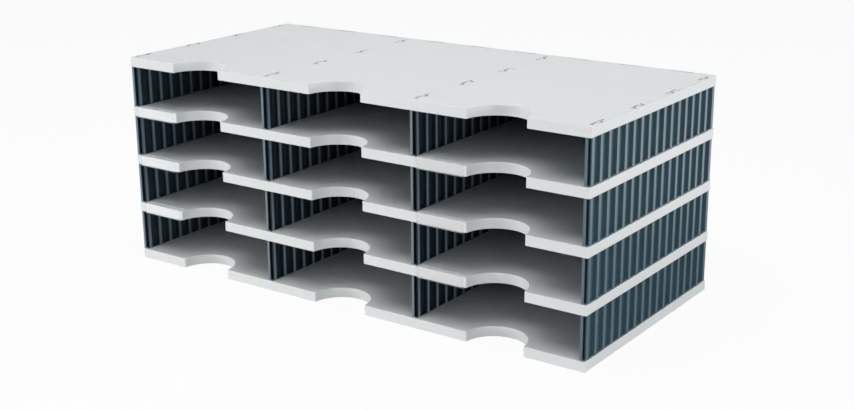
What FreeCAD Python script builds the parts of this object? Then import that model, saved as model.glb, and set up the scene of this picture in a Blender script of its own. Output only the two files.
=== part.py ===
import FreeCAD
import Part
import os

# A free-standing sorting unit: light shelves with corrugated walls plugged between them.
# Millimetres, +X to the right, +Y to the back, +Z up.
# The origin lies on the floor, under the middle of the unit.

# Layout, named from left to right and numbered from the bottom
column_names = ["left", "middle", "right"]
line_names = ["outer_left", "inner_left", "inner_right", "outer_right"]
row_count = 4
clear_height = 56.5

# Shelf
shelf_width = 723.0
shelf_depth = 331.0
shelf_thickness = 13.2
shelf_corner_radius = 2.0
notch_radius = 40.5
notch_corner_radius = 2.0

# Hollow underside of the shelf
skin_thickness = 3.0
rim_thickness = 3.0
seat_margin = 2.5
stiffener_thickness = 2.0
stiffener_recess = 1.0
bays_across = 4
bays_deep = 5

# Corrugated wall
wall_depth = 7.0
sheet_thickness = 2.0
wall_side_inset = 1.0
wall_front_inset = 0.8
wall_back_inset = 2.5
rib_count = 16
rib_width = 6.0
rib_slope = 1.0
rib_start = 3.4
end_post_length = 6.4
front_lip_width = 3.3
front_lip_thickness = 1.2
foot_thickness = 1.5

# Slits for the plug-in tabs of the walls: the wall above plugs into the front part of a
# slit, and the wall below into the rest of it
slit_count = 4
slit_length = 30.0
slit_end_gap = 8.5
front_tab_share = 0.45
tab_meeting_gap = 1.6
tab_recess = 0.4
tab_clearance = 0.2

# Back panel
panel_thickness = 2.0
panel_side_clearance = 0.3
panel_slit_count = 3
panel_slit_length = 34.0

# Label holder and its paper strip
holder_length = 67.0
holder_wall = 0.8
holder_lip_depth = 7.0
holder_grip_clearance = 0.2
strip_length = 65.0
strip_thickness = 0.3
strip_clearance = 0.15

# Gap between a label holder and the wall on its left
holder_gap_close = 0.8
holder_gap_middle = 3.0
holder_gap_far = 4.0
label_places = [
    ("left", 2, holder_gap_far),
    ("left", 3, holder_gap_close),
    ("left", 4, holder_gap_close),
    ("right", 2, holder_gap_middle),
    ("right", 3, holder_gap_middle),
    ("right", 4, holder_gap_middle),
]

# Overrun of every cut past the faces that it opens
overrun = 5.0

# Tolerance for telling where an edge of a plate lies
fuzz = 0.001

# Sizes that follow
column_count = len(column_names)
row_pitch = clear_height + shelf_thickness
half_wall = wall_depth / 2
outer_line = shelf_width / 2 - wall_side_inset - half_wall
line_pitch = 2 * outer_line / column_count
line_places = [-outer_line + index * line_pitch for index in range(column_count + 1)]
column_centres = [place + line_pitch / 2 for place in line_places[:-1]]
wall_length = shelf_depth - wall_front_inset - wall_back_inset
rib_pitch = (wall_length - rib_start - end_post_length) / rib_count
tab_height = shelf_thickness - tab_recess
slit_pitch = (wall_length - 2 * slit_end_gap - slit_length) / (slit_count - 1)
slit_starts = [slit_end_gap + index * slit_pitch for index in range(slit_count)]
panel_width = line_pitch - wall_depth - 2 * panel_side_clearance
panel_front = shelf_depth - wall_back_inset - panel_thickness
panel_slit_pitch = panel_width / panel_slit_count
seat_half = half_wall + seat_margin
back_seat = wall_back_inset + panel_thickness + seat_margin
holder_reach = holder_wall + 2 * strip_clearance + strip_thickness

# The front edges of the shelves, placed so that the whole unit is centred on the origin
front_place = (holder_reach - shelf_depth) / 2


def block(x_limits, y_limits, z_limits):
    """A box between three pairs of limits."""
    low, high = zip(x_limits, y_limits, z_limits)
    sides = [end - start for start, end in zip(low, high)]
    return Part.makeBox(*sides, FreeCAD.Vector(*low))


def prism(points, bottom, top):
    """An upright prism on an outline of points in X and Y."""
    corners = [FreeCAD.Vector(x, y, bottom) for x, y in points]
    outline = Part.makePolygon(corners + corners[:1])
    return Part.Face(outline).extrude(FreeCAD.Vector(0, 0, top - bottom))


def sheet_outline(growth):
    """The zigzag outline of a wall seen from above, grown all round by a clearance."""
    crest_face = half_wall + growth
    crest_back = half_wall - sheet_thickness - growth
    recess_face = sheet_thickness - half_wall + growth
    recess_back = -half_wall - growth
    web = sheet_thickness + growth
    rise = wall_depth - sheet_thickness
    back_lead = rib_slope * sheet_thickness / rise
    foot_lead = rib_slope * wall_depth / rise
    rib_starts = [rib_start + index * rib_pitch for index in range(rib_count)]
    post = wall_length - end_post_length
    lip_face = front_lip_width - half_wall + growth
    lip_back = front_lip_thickness + growth
    outer = [(lip_face, -growth), (lip_face, lip_back), (recess_face, lip_back)]
    inner = [(recess_back, -growth)]
    for start in rib_starts:
        end = start + rib_width
        if start == rib_start:
            # The first rib is a hook that is open to the front
            outer.append((recess_face, end + rib_slope - web))
            outer.append((crest_back, end + back_lead - web))
            outer.append((crest_back, start - growth))
            outer.append((crest_face, start - growth))
            outer.append((crest_face, end + growth))
            outer.append((recess_face, end + rib_slope + growth))
            continue
        outer.append((recess_face, start - rib_slope - growth))
        outer.append((crest_face, start - growth))
        outer.append((crest_face, end + growth))
        outer.append((recess_face, end + rib_slope + growth))
        inner.append((recess_back, start - foot_lead + web))
        inner.append((crest_back, start - back_lead + web))
        inner.append((crest_back, end + back_lead - web))
        inner.append((recess_back, end + foot_lead - web))
    outer.append((recess_face, post - rib_slope - growth))
    outer.append((crest_face, post - growth))
    outer.append((crest_face, wall_length + growth))
    inner.append((recess_back, post - foot_lead + web))
    inner.append((crest_back, post - back_lead + web))
    inner.append((crest_back, wall_length - web))
    inner.append((recess_back, wall_length - web))
    inner.append((recess_back, wall_length + growth))
    return outer + inner[::-1]


def lower_tab(start, length):
    """The limits of the tab that the piece above pushes into a slit."""
    return (start, start + length * front_tab_share - tab_meeting_gap / 2)


def upper_tab(start, length):
    """The limits of the tab that the piece below pushes into a slit."""
    return (start + length * front_tab_share + tab_meeting_gap / 2, start + length)


def spaces_between(spans):
    """The limits of the spaces before, between and after the tabs of a wall."""
    starts = [-overrun] + [end for start, end in spans]
    ends = [start for start, end in spans] + [wall_length + overrun]
    return list(zip(starts, ends))


def wall():
    """A corrugated wall with a flat foot and a row of tabs above and below."""
    sheet = prism(sheet_outline(0), -tab_height, clear_height + tab_height)
    across = (-half_wall - overrun, half_wall + overrun)
    gaps = []
    for along in spaces_between([lower_tab(start, slit_length) for start in slit_starts]):
        gaps.append(block(across, along, (-tab_height - overrun, 0)))
    for along in spaces_between([upper_tab(start, slit_length) for start in slit_starts]):
        gaps.append(block(across, along, (clear_height, clear_height + tab_height + overrun)))
    foot = block((-half_wall, half_wall), (0, wall_length), (0, foot_thickness))
    return sheet.cut(gaps).fuse(foot).removeSplitter()


def wall_slits(place):
    """The slits in a shelf for the tabs of one wall line."""
    through = (-overrun, shelf_thickness + overrun)
    sheet = prism(sheet_outline(tab_clearance), *through)
    across = (-half_wall - overrun, half_wall + overrun)
    slits = []
    for start in slit_starts:
        along = (start - tab_clearance, start + slit_length + tab_clearance)
        slit = sheet.common(block(across, along, through))
        slits.append(slit.translated(FreeCAD.Vector(place, wall_front_inset, 0)))
    return slits


def panel_slit_starts(centre):
    """Where the slits for one back panel start along X."""
    first = centre - panel_slit_pitch * (panel_slit_count - 1) / 2 - panel_slit_length / 2
    return [first + index * panel_slit_pitch for index in range(panel_slit_count)]


def panel_slits(centre):
    """The slits in a shelf for the tabs of one back panel."""
    along = (panel_front - tab_clearance, panel_front + panel_thickness + tab_clearance)
    through = (-overrun, shelf_thickness + overrun)
    slits = []
    for start in panel_slit_starts(centre):
        span = (start - tab_clearance, start + panel_slit_length + tab_clearance)
        slits.append(block(span, along, through))
    return slits


def underside_pocket(column):
    """The hollow under one column of a shelf, with stiffeners left standing in it."""
    left = line_places[column] + seat_half
    right = line_places[column + 1] - seat_half
    front = rim_thickness
    back = shelf_depth - back_seat
    bay_width = (right - left - (bays_across - 1) * stiffener_thickness) / bays_across
    bay_depth = (back - front - (bays_deep - 1) * stiffener_thickness) / bays_deep
    bays = []
    for across in range(bays_across):
        bay_left = left + across * (bay_width + stiffener_thickness)
        for deep in range(bays_deep):
            bay_front = front + deep * (bay_depth + stiffener_thickness)
            bay_sides = (bay_left, bay_left + bay_width), (bay_front, bay_front + bay_depth)
            bays.append(block(*bay_sides, (-overrun, shelf_thickness - skin_thickness)))
    recess = block((left, right), (front, back), (-overrun, stiffener_recess))
    notch_rim = notch_cylinder(column, notch_radius + rim_thickness)
    return recess.fuse(bays).cut(notch_rim)


def notch_cylinder(column, radius):
    """An upright cylinder about the middle of one column's front edge."""
    base = FreeCAD.Vector(column_centres[column], 0, -overrun)
    return Part.makeCylinder(radius, shelf_thickness + 2 * overrun, base)


def upright_edges(shape):
    """The feet of all straight upright edges of a plate, each with its edge."""
    found = []
    for edge in shape.Edges:
        ends = [vertex.Point for vertex in edge.Vertexes]
        if len(ends) == 2 and (ends[1] - ends[0]).cross(FreeCAD.Vector(0, 0, 1)).Length < fuzz:
            found.append((ends[0], edge))
    return found


def at_side(point):
    """True for a point on one of the two ends of a shelf."""
    return abs(abs(point.x) - shelf_width / 2) < fuzz


def corner_edges(plate):
    """The upright edges at the four corners of a plate."""
    return [edge for foot, edge in upright_edges(plate) if at_side(foot)]


def notch_edges(plate):
    """The upright edges where the finger notches meet the front of a plate."""
    edges = upright_edges(plate)
    return [edge for foot, edge in edges if abs(foot.y) < fuzz and not at_side(foot)]


def shelf():
    """A shelf with rounded finger notches, slits for all tabs and a hollow underside."""
    half_width = shelf_width / 2
    plate = block((-half_width, half_width), (0, shelf_depth), (0, shelf_thickness))
    plate = plate.makeFillet(shelf_corner_radius, corner_edges(plate))
    plate = plate.cut([notch_cylinder(column, notch_radius) for column in range(column_count)])
    plate = plate.makeFillet(notch_corner_radius, notch_edges(plate))
    cuts = []
    for place in line_places:
        cuts += wall_slits(place)
    for column in range(column_count):
        cuts += panel_slits(column_centres[column])
        cuts.append(underside_pocket(column))
    return plate.cut(cuts)


def back_panel(centre):
    """A flat panel that closes one compartment behind, with tabs above and below."""
    along = (panel_front, panel_front + panel_thickness)
    sides = (centre - panel_width / 2, centre + panel_width / 2)
    panel = block(sides, along, (0, clear_height))
    tabs = []
    for start in panel_slit_starts(centre):
        tabs.append(block(lower_tab(start, panel_slit_length), along, (-tab_height, 0)))
        top = (clear_height, clear_height + tab_height)
        tabs.append(block(upper_tab(start, panel_slit_length), along, top))
    return panel.fuse(tabs).removeSplitter()


def label_holder():
    """A clear C-section clip around the front edge of a shelf."""
    outer_low = -holder_grip_clearance - holder_wall
    outer_high = shelf_thickness + holder_grip_clearance + holder_wall
    clip = block((0, holder_length), (-holder_reach, holder_lip_depth), (outer_low, outer_high))
    inside = block(
        (-overrun, holder_length + overrun),
        (holder_wall - holder_reach, holder_lip_depth + overrun),
        (outer_low + holder_wall, outer_high - holder_wall),
    )
    return clip.cut(inside)


def label_strip():
    """The paper strip between a label holder's front and the shelf's edge."""
    margin = (holder_length - strip_length) / 2
    slack = holder_grip_clearance - strip_clearance
    along = (-strip_clearance - strip_thickness, -strip_clearance)
    return block((margin, margin + strip_length), along, (-slack, shelf_thickness + slack))


def export(name, shape, x, y, z):
    """Write one piece, moved to its place from the middle of the shelves' front edge."""
    placed = shape.translated(FreeCAD.Vector(x, front_place + y, z))
    placed.exportStep(os.path.join("parts", name + ".step"))


os.makedirs("parts", exist_ok=True)

shelf_shape = shelf()
for number in range(row_count + 1):
    export(f"shelf_{number + 1}", shelf_shape, 0, 0, number * row_pitch)

wall_shape = wall()
for line, place in zip(line_names, line_places):
    for row in range(row_count):
        floor = row * row_pitch + shelf_thickness
        export(f"wall_{line}_{row + 1}", wall_shape, place, wall_front_inset, floor)

for column, centre in zip(column_names, column_centres):
    panel_shape = back_panel(centre)
    for row in range(row_count):
        floor = row * row_pitch + shelf_thickness
        export(f"back_panel_{column}_{row + 1}", panel_shape, 0, 0, floor)

holder_shape = label_holder()
strip_shape = label_strip()
for column, number, gap in label_places:
    start = line_places[column_names.index(column)] + half_wall + gap
    level = (number - 1) * row_pitch
    export(f"label_holder_{column}_{number}", holder_shape, start, 0, level)
    export(f"label_strip_{column}_{number}", strip_shape, start, 0, level)
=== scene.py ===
import math

import bpy
from mathutils import Matrix, Vector

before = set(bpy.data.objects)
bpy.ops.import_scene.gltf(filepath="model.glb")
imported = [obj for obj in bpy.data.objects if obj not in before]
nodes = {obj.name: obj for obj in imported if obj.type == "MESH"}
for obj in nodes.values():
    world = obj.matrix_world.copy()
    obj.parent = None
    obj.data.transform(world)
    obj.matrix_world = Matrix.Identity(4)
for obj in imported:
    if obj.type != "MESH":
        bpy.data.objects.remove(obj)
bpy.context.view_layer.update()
scene = bpy.context.scene
scene.view_settings.view_transform = "Standard"

# Lengths are in metres, +X to the right, +Y to the back, +Z up, on the same frame as the
# solids. Colours are linear red, green and blue, and a pair of them is the range that noise
# runs through. The scale of a noise is its number of cells in a metre.

# Camera: place, turn and lens, worked out from the edges of the shelves
camera_place = (1.055, -1.4518, 0.652)
camera_azimuth_deg = 35.40
camera_elevation_deg = 17.15
camera_roll_deg = 0.41
image_width_px = 854
focal_length_px = 1369
sensor_width_mm = 36

# Rounded edges of the pieces
shelf_edge_round = 0.0005
wall_edge_round = 0.0003
panel_edge_round = 0.0003
holder_edge_round = 0.00015
paper_edge_round = 0.00005
round_segments = 2
sharp_angle_deg = 35
weld_distance = 0.00001
large_face_weight = 100

# Most of a noise lies between these two values
noise_range = (0.3, 0.7)

# Shelves: pale grey plastic
shelf_cloud_scale = 14
shelf_grain_scale = 1500
shelf_pit_scale = 420
shelf_flow_scale = 30
shelf_flow_stretch = (1, 6, 1)
shelf_cloud_colours = ((0.655, 0.672, 0.680), (0.685, 0.700, 0.706))
shelf_grain_colours = ((0.650, 0.668, 0.676), (0.690, 0.704, 0.710))
shelf_grain_colour_share = 0.4
shelf_grain_gloss_share = 0.35
shelf_roughness = (0.27, 0.38)
shelf_pit_share = 0.5
shelf_relief = 0.00004
shelf_relief_strength = 0.35
shelf_ior = 1.55

# Walls and back panels: dark plastic
wall_cloud_scale = 22
wall_grain_scale = 1300
wall_draw_scale = 500
wall_draw_stretch = (1, 1, 0.03)
wall_colours = ((0.026, 0.054, 0.068), (0.036, 0.070, 0.088))
wall_grain_colour_share = 0.4
wall_draw_gloss_share = 0.4
wall_roughness = (0.24, 0.36)
wall_draw_relief_share = 0.6
wall_relief = 0.00002
wall_relief_strength = 0.3
wall_ior = 1.59
wall_gloss_tint = (0.82, 0.92, 1.0, 1)
wall_coat_roughness = 0.15

# Painted highlights on the walls, for light that the ribs and front lip catch. Their lines
# are one wall_line_pitch apart, and a face gets the highlight where it lies more than
# crest_height off its
# line: fully on the middle of each rib, to the right, and less to the left. The front lip
# gets it too.
painted_highlight_colours = ((0.100, 0.136, 0.176), (0.140, 0.178, 0.226))
wall_line_pitch = 0.238
crest_height = 0.0032
rib_pitch = 0.019869
first_rib_middle = -0.1576
rib_highlight_width = 0.0046
rib_highlight_blend = 0.0008
left_highlight_share = 0.25
wall_front = -0.1640
front_lip_thickness = 0.0012
highlight_blend = 0.0004
highlight_unevenness = 0.0008

# Label holders: clear film
film_rub_scale = 900
film_rub_stretch = (0.08, 1, 1)
film_colours = ((0.80, 0.84, 0.88), (0.90, 0.92, 0.95))
film_roughness = (0.05, 0.16)
film_relief = 0.00001
film_relief_strength = 0.2
film_ior = 1.49
film_clear_colour = (0.985, 0.985, 0.985, 1)
film_milkiness = (0.005, 0.02)
film_mirror_share = 0.5

# Label strips: white paper
paper_fibre_scale = 1600
paper_fibre_stretch = (0.25, 1, 1)
paper_cloud_scale = 260
paper_fibre_colours = ((0.72, 0.72, 0.712), (0.79, 0.79, 0.782))
paper_cloud_colours = ((0.74, 0.74, 0.732), (0.78, 0.78, 0.772))
paper_cloud_colour_share = 0.5
paper_roughness = (0.72, 0.88)
paper_cloud_relief_share = 0.5
paper_relief = 0.00002
paper_relief_strength = 0.4
paper_ior = 1.45

# Floor and room
white = (1, 1, 1, 1)
floor_size = 14
floor_seen_albedo = 0.95
floor_bounce_albedo = 0.80
floor_white_share = 0.92
horizon_colour = (0.04, 0.07, 0.09)
zenith_colour = (0.53, 0.57, 0.60)

# What gloss shows: dark towards the front, white to the right and the back
sweep_direction = (0.57, 0.82, 0)
floor_sweep = (0.36, 1.00)
sky_sweep = (-0.30, 0.30)
sweep_levels = (0.06, 1)

# Lamps
lamp_colour = (1.0, 0.975, 0.95)
lamp_spread_deg = 125

# Places of the colour sockets among the inputs and outputs of a mix node
mix_first_colour = 6
mix_second_colour = 7
mix_result_colour = 2


class Look:
    """A tree of shader nodes, with short ways to add nodes and join them."""

    def __init__(self, tree, output_kind):
        self.tree = tree
        self.tree.nodes.clear()
        self.output = self.add(output_kind)
        self.coordinates = self.add("ShaderNodeTexCoord").outputs

    def add(self, kind, **settings):
        """A new node with some of its settings changed."""
        node = self.tree.nodes.new(kind)
        for name, value in settings.items():
            setattr(node, name, value)
        return node

    def feed(self, socket, value):
        """Give an input a fixed value, or join the output of another node to it."""
        if isinstance(value, bpy.types.NodeSocket):
            self.tree.links.new(value, socket)
        else:
            socket.default_value = value

    def feed_in_order(self, node, *values):
        """Feed the inputs of a node from the first one on."""
        for socket, value in zip(node.inputs, values):
            self.feed(socket, value)
        return node

    def feed_by_name(self, node, **values):
        """Feed inputs of a node by their names, with _ for a space."""
        for name, value in values.items():
            self.feed(node.inputs[name.replace("_", " ")], value)
        return node

    def result(self, kind, **values):
        """The first output of a new node that is fed by name."""
        return self.feed_by_name(self.add(kind), **values).outputs[0]

    def calculate(self, operation, *values):
        """One number worked out from others."""
        node = self.add("ShaderNodeMath", operation=operation)
        return self.feed_in_order(node, *values).outputs["Value"]

    def plus_share(self, value, other, share):
        """A value with a share of another added."""
        return self.calculate("MULTIPLY_ADD", other, share, value)

    def spread(self, value, source, target, **settings):
        """A value taken from one range to another, and kept inside that."""
        node = self.feed_by_name(
            self.add("ShaderNodeMapRange", **settings),
            Value=value,
            From_Min=source[0],
            From_Max=source[1],
            To_Min=target[0],
            To_Max=target[1],
        )
        return node.outputs["Result"]

    def noise(self, scale, detail, stretch=(1, 1, 1)):
        """Noise on the piece, drawn out along an axis where stretch is under 1."""
        place = self.coordinates["Object"]
        stretched = self.result("ShaderNodeMapping", Vector=place, Scale=stretch)
        return self.result("ShaderNodeTexNoise", Vector=stretched, Scale=scale, Detail=detail)

    def ramp(self, value, colours, source=noise_range):
        """A colour that goes from one to the other as a value goes through a range."""
        node = self.feed_by_name(self.add("ShaderNodeValToRGB"), Fac=value)
        for stop, place, colour in zip(node.color_ramp.elements, source, colours):
            stop.position = place
            stop.color = (*colour, 1)
        return node.outputs["Color"]

    def mix(self, first, second, share):
        """Two colours mixed, with a share of the second."""
        node = self.add("ShaderNodeMix", data_type="RGBA")
        self.feed(node.inputs["Factor"], share)
        self.feed(node.inputs[mix_first_colour], first)
        self.feed(node.inputs[mix_second_colour], second)
        return node.outputs[mix_result_colour]

    def bump(self, height, distance, strength):
        """A fine relief in the shading, which leaves the shape as it is."""
        return self.result(
            "ShaderNodeBump", Height=height, Distance=distance, Strength=strength
        )

    def principled(self, colour, roughness, normal, **values):
        """The usual shader of a solid surface."""
        return self.result(
            "ShaderNodeBsdfPrincipled",
            Base_Color=colour,
            Roughness=roughness,
            Normal=normal,
            **values,
        )

    def mix_shaders(self, first, second, share):
        """Two shaders mixed, with a share of the second."""
        node = self.add("ShaderNodeMixShader")
        return self.feed_in_order(node, share, first, second).outputs["Shader"]

    def surface(self, shader):
        """Send a shader to the surface."""
        self.feed_by_name(self.output, Surface=shader)


def new_material(name):
    """A material, and its empty look."""
    material = bpy.data.materials.new(name)
    material.use_nodes = True
    return material, Look(material.node_tree, "ShaderNodeOutputMaterial")


def shelf_plastic():
    """Pale grey polystyrene with a fine spark-eroded grain."""
    material, look = new_material("shelf_plastic")
    clouds = look.noise(shelf_cloud_scale, detail=4)
    grain = look.noise(shelf_grain_scale, detail=3)
    flow = look.noise(shelf_flow_scale, detail=3, stretch=shelf_flow_stretch)
    pits = look.noise(shelf_pit_scale, detail=2)
    colour = look.mix(
        look.ramp(clouds, shelf_cloud_colours),
        look.ramp(grain, shelf_grain_colours),
        shelf_grain_colour_share,
    )
    gloss = look.plus_share(flow, grain, shelf_grain_gloss_share)
    roughness = look.spread(gloss, noise_range, shelf_roughness)
    height = look.plus_share(grain, pits, shelf_pit_share)
    normal = look.bump(height, shelf_relief, shelf_relief_strength)
    look.surface(look.principled(colour, roughness, normal, IOR=shelf_ior))
    return material


def from_nearest(look, value, first, pitch):
    """How far a value is past the nearest one of an even row."""
    shifted = look.calculate("SUBTRACT", value, first)
    return look.calculate("WRAP", shifted, pitch / 2, -pitch / 2)


def past(look, value, limit, blend, share=1):
    """A share that comes in as a value passes a limit, or goes out for a blend below 0."""
    return look.spread(value, (limit - blend, limit + blend), (0, share))


def painted_highlight_share(look, highlight_noise):
    """How much painted highlight a place on a wall gets: ribs and front lip fully, the left
    face less.
    """
    position = look.add("ShaderNodeSeparateXYZ")
    place = look.feed_by_name(position, Vector=look.coordinates["Object"]).outputs
    across = from_nearest(look, place["X"], wall_line_pitch / 2, wall_line_pitch)
    uneven_across = look.plus_share(across, highlight_noise, highlight_unevenness)
    along = from_nearest(look, place["Y"], first_rib_middle, rib_pitch)
    from_middle = look.calculate("ABSOLUTE", along)
    middle = past(look, from_middle, rib_highlight_width / 2, -rib_highlight_blend)
    crest = past(look, uneven_across, crest_height, highlight_blend)
    ribs = look.calculate("MULTIPLY", crest, middle)
    left = past(look, uneven_across, -crest_height, -highlight_blend, left_highlight_share)
    lip = past(look, place["Y"], wall_front + front_lip_thickness, -highlight_blend)
    return look.calculate("MAXIMUM", look.calculate("MAXIMUM", ribs, left), lip)


def scaled(colours, factor):
    """A pair of colours, brighter or darker by a factor."""
    return [[part * factor for part in colour] for colour in colours]


def wall_plastic(name, painted_darkness, coat, highlight_strength=0):
    """Blue-grey polystyrene with a painted darkness that gives lit and shaded copies, its
    gloss coat, and painted highlights on the ribs and front lip.
    """
    material, look = new_material(name)
    clouds = look.noise(wall_cloud_scale, detail=4)
    grain = look.noise(wall_grain_scale, detail=2)
    draw = look.noise(wall_draw_scale, detail=2, stretch=wall_draw_stretch)
    # Painted light and shade: the colours are divided by the darkness given for this place.
    colours = scaled(wall_colours, 1 / painted_darkness)
    colour = look.mix(
        look.ramp(clouds, colours),
        look.ramp(grain, colours),
        wall_grain_colour_share,
    )
    # Painted highlight: a lighter colour on the ribs and front lip, standing in for the light
    # they catch.
    if highlight_strength:
        wear_and_highlight = look.ramp(grain, scaled(painted_highlight_colours, highlight_strength))
        colour = look.mix(colour, wear_and_highlight, painted_highlight_share(look, draw))
    gloss = look.plus_share(clouds, draw, wall_draw_gloss_share)
    roughness = look.spread(gloss, noise_range, wall_roughness)
    height = look.plus_share(grain, draw, wall_draw_relief_share)
    normal = look.bump(height, wall_relief, wall_relief_strength)
    look.surface(
        look.principled(
            colour,
            roughness,
            normal,
            IOR=wall_ior,
            Specular_Tint=wall_gloss_tint,
            Coat_Weight=coat,
            Coat_Roughness=wall_coat_roughness,
        )
    )
    return material


def label_plastic():
    """Clear rigid film with rubbed, slightly milky places."""
    material, look = new_material("label_plastic")
    wear_and_highlight = look.noise(film_rub_scale, detail=3, stretch=film_rub_stretch)
    gloss = look.principled(
        look.ramp(wear_and_highlight, film_colours),
        look.spread(wear_and_highlight, noise_range, film_roughness),
        look.bump(wear_and_highlight, film_relief, film_relief_strength),
        IOR=film_ior,
    )
    clear = look.result("ShaderNodeBsdfTransparent", Color=film_clear_colour)
    mirror = look.result("ShaderNodeFresnel", IOR=film_ior)
    milky = look.spread(wear_and_highlight, noise_range, film_milkiness)
    share = look.plus_share(milky, mirror, film_mirror_share)
    look.surface(look.mix_shaders(clear, gloss, share))
    return material


def label_paper():
    """White paper with fine fibres."""
    material, look = new_material("label_paper")
    fibres = look.noise(paper_fibre_scale, detail=4, stretch=paper_fibre_stretch)
    clouds = look.noise(paper_cloud_scale, detail=3)
    colour = look.mix(
        look.ramp(fibres, paper_fibre_colours),
        look.ramp(clouds, paper_cloud_colours),
        paper_cloud_colour_share,
    )
    roughness = look.spread(fibres, noise_range, paper_roughness)
    height = look.plus_share(fibres, clouds, paper_cloud_relief_share)
    normal = look.bump(height, paper_relief, paper_relief_strength)
    look.surface(look.principled(colour, roughness, normal, IOR=paper_ior))
    return material


def dress(piece, material, edge_round):
    """Give a node its material, and round its sharp edges on top of its own mesh."""
    piece.data.materials.clear()
    piece.data.materials.append(material)
    weld = piece.modifiers.new("weld", "WELD")
    weld.merge_threshold = weld_distance
    bevel = piece.modifiers.new("round", "BEVEL")
    bevel.width = edge_round
    bevel.segments = round_segments
    bevel.limit_method = "ANGLE"
    bevel.angle_limit = math.radians(sharp_angle_deg)
    bevel.use_clamp_overlap = False
    bevel.loop_slide = False
    normals = piece.modifiers.new("normals", "WEIGHTED_NORMAL")
    normals.mode = "FACE_AREA"
    normals.weight = large_face_weight
    normals.keep_sharp = False


def dress_all():
    """Dress every node by the start of its name; walls get painted light and shade by their
    place, lighter on the outer right wall and darker on the others.
    """
    # Lit and shaded copies of one plastic: painted light on the outer right wall, painted
    # shade on the other walls and the back panels.
    lit_copy = wall_plastic("wall_plastic_faded", painted_darkness=0.65, coat=0.35, highlight_strength=1)
    outer = wall_plastic("wall_plastic_outer", painted_darkness=2.6, coat=0.1, highlight_strength=1.4)
    inner = wall_plastic("wall_plastic_inner", painted_darkness=4.2, coat=0.1, highlight_strength=1.4)
    back = wall_plastic("wall_plastic_back", painted_darkness=3.0, coat=0.3)
    finishes = [
        ("shelf_", shelf_plastic(), shelf_edge_round),
        ("wall_outer_right_", lit_copy, wall_edge_round),
        ("wall_outer_left_", outer, wall_edge_round),
        ("wall_inner_", inner, wall_edge_round),
        ("back_panel_", back, panel_edge_round),
        ("label_holder_", label_plastic(), holder_edge_round),
        ("label_strip_", label_paper(), paper_edge_round),
    ]
    for name, piece in nodes.items():
        for start, material, edge_round in finishes:
            if name.startswith(start):
                dress(piece, material, edge_round)


def sweep(look, place, reach):
    """A level that grows from dark to white along the sweep direction, over a reach."""
    along = look.add("ShaderNodeVectorMath", operation="DOT_PRODUCT")
    distance = look.feed_in_order(along, place, sweep_direction).outputs["Value"]
    return look.spread(distance, reach, sweep_levels, interpolation_type="SMOOTHSTEP")


def floor_white():
    """White where it is seen, with the object's shadow, and a sweep where gloss shows it."""
    material, look = new_material("floor_white")
    ray = look.add("ShaderNodeLightPath").outputs
    seen = ray["Is Camera Ray"]
    albedo = look.spread(seen, (0, 1), (floor_bounce_albedo, floor_seen_albedo))
    plain = look.result("ShaderNodeBsdfDiffuse", Color=albedo)
    bright = look.result("ShaderNodeEmission", Color=white)
    level = sweep(look, look.coordinates["Object"], floor_sweep)
    mirrored = look.result("ShaderNodeEmission", Color=white, Strength=level)
    share = look.calculate("MULTIPLY", seen, floor_white_share)
    direct = look.mix_shaders(plain, bright, share)
    look.surface(look.mix_shaders(direct, mirrored, ray["Is Glossy Ray"]))
    return material


def make_floor():
    """A plain floor, and a group that keeps a lamp's light off it."""
    half = floor_size / 2
    mesh = bpy.data.meshes.new("floor")
    corners = [(-half, -half, 0), (half, -half, 0), (half, half, 0), (-half, half, 0)]
    mesh.from_pydata(corners, [], [(0, 1, 2, 3)])
    mesh.materials.append(floor_white())
    floor = bpy.data.objects.new("floor", mesh)
    scene.collection.objects.link(floor)
    spared = bpy.data.collections.new("spared_floor")
    spared.objects.link(floor)
    spared.collection_objects[0].light_linking.link_state = "EXCLUDE"
    return spared


def make_world():
    """A room whose light grows from the horizon up, white where it is seen."""
    world = bpy.data.worlds.new("room")
    scene.world = world
    world.use_nodes = True
    look = Look(world.node_tree, "ShaderNodeOutputWorld")
    direction = look.coordinates["Generated"]
    height = look.feed_by_name(look.add("ShaderNodeSeparateXYZ"), Vector=direction)
    colour = look.ramp(height.outputs["Z"], (horizon_colour, zenith_colour), (0, 1))
    glow = sweep(look, direction, sky_sweep)
    sky = look.result("ShaderNodeBackground", Color=colour)
    bright = look.result("ShaderNodeBackground", Color=white)
    mirrored = look.result("ShaderNodeBackground", Color=white, Strength=glow)
    ray = look.add("ShaderNodeLightPath").outputs
    seen = look.mix_shaders(sky, mirrored, ray["Is Glossy Ray"])
    for kind in ("Is Transmission Ray", "Is Camera Ray"):
        seen = look.mix_shaders(seen, bright, ray[kind])
    look.surface(seen)


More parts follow.
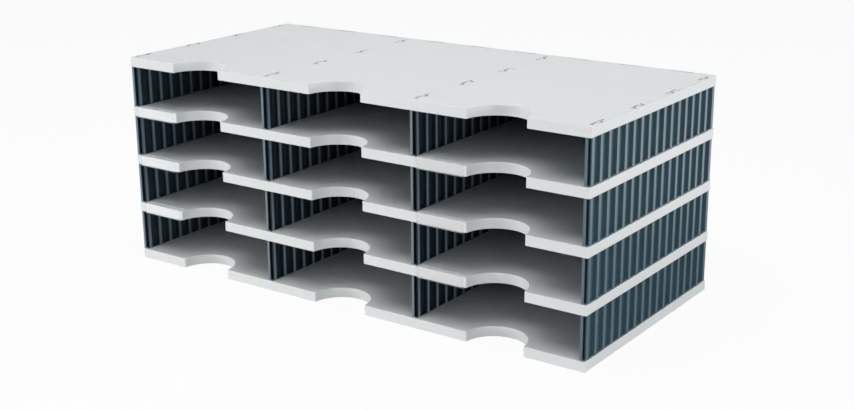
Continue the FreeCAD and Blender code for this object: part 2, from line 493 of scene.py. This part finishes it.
def area_light(name, place, target, size, power, receivers=None, mirrored=True):
    """A soft rectangular lamp aimed at a point, for a group of receivers or for all."""
    lamp = bpy.data.lights.new(name, "AREA")
    lamp.shape = "RECTANGLE"
    lamp.size, lamp.size_y = size
    lamp.energy = power
    lamp.spread = math.radians(lamp_spread_deg)
    lamp.color = lamp_colour
    carrier = bpy.data.objects.new(name, lamp)
    scene.collection.objects.link(carrier)
    carrier.location = place
    aim = Vector(target) - Vector(place)
    carrier.rotation_euler = aim.to_track_quat("-Z", "Y").to_euler()
    carrier.visible_camera = False
    carrier.visible_glossy = mirrored
    carrier.light_linking.receiver_collection = receivers


def make_lamps(spared_floor):
    """One wide lamp above, and four low ones around the object that leave the floor out."""
    area_light(
        "top_light",
        place=(0, -0.6, 2.1),
        target=(0, -0.05, 0.29),
        size=(2.2, 1.6),
        power=14,
    )
    area_light(
        "front_light",
        place=(-1.25, -2.1, 0.20),
        target=(-0.2, -0.16, 0.14),
        size=(2.1, 0.4),
        power=17,
        receivers=spared_floor,
        mirrored=False,
    )
    area_light(
        "corner_light",
        place=(2.4, -1.2, 0.26),
        target=(0.1, -0.1, 0.15),
        size=(1.2, 0.45),
        power=7.2,
        receivers=spared_floor,
    )
    area_light(
        "side_light",
        place=(2.1, 0.4, 0.60),
        target=(0.36, 0, 0.15),
        size=(1.2, 0.45),
        power=7.5,
        receivers=spared_floor,
    )
    area_light(
        "back_light",
        place=(-0.8, 2.2, 0.15),
        target=(0, 0.16, 0.15),
        size=(2.0, 0.26),
        power=12,
        receivers=spared_floor,
        mirrored=False,
    )


def make_camera():
    """The camera at the place and angle that the edges of the shelves give."""
    data = bpy.data.cameras.new("camera")
    data.sensor_width = sensor_width_mm
    data.lens = focal_length_px / image_width_px * sensor_width_mm
    camera = bpy.data.objects.new("camera", data)
    scene.collection.objects.link(camera)
    azimuth = math.radians(camera_azimuth_deg)
    elevation = math.radians(camera_elevation_deg)
    forward = Vector((
        -math.sin(azimuth) * math.cos(elevation),
        math.cos(azimuth) * math.cos(elevation),
        -math.sin(elevation),
    ))
    turn = forward.to_track_quat("-Z", "Y").to_matrix()
    roll = Matrix.Rotation(math.radians(camera_roll_deg), 3, forward)
    camera.matrix_world = Matrix.Translation(camera_place) @ (roll @ turn).to_4x4()
    scene.camera = camera


dress_all()
spared_floor = make_floor()
make_world()
make_camera()
make_lamps(spared_floor)
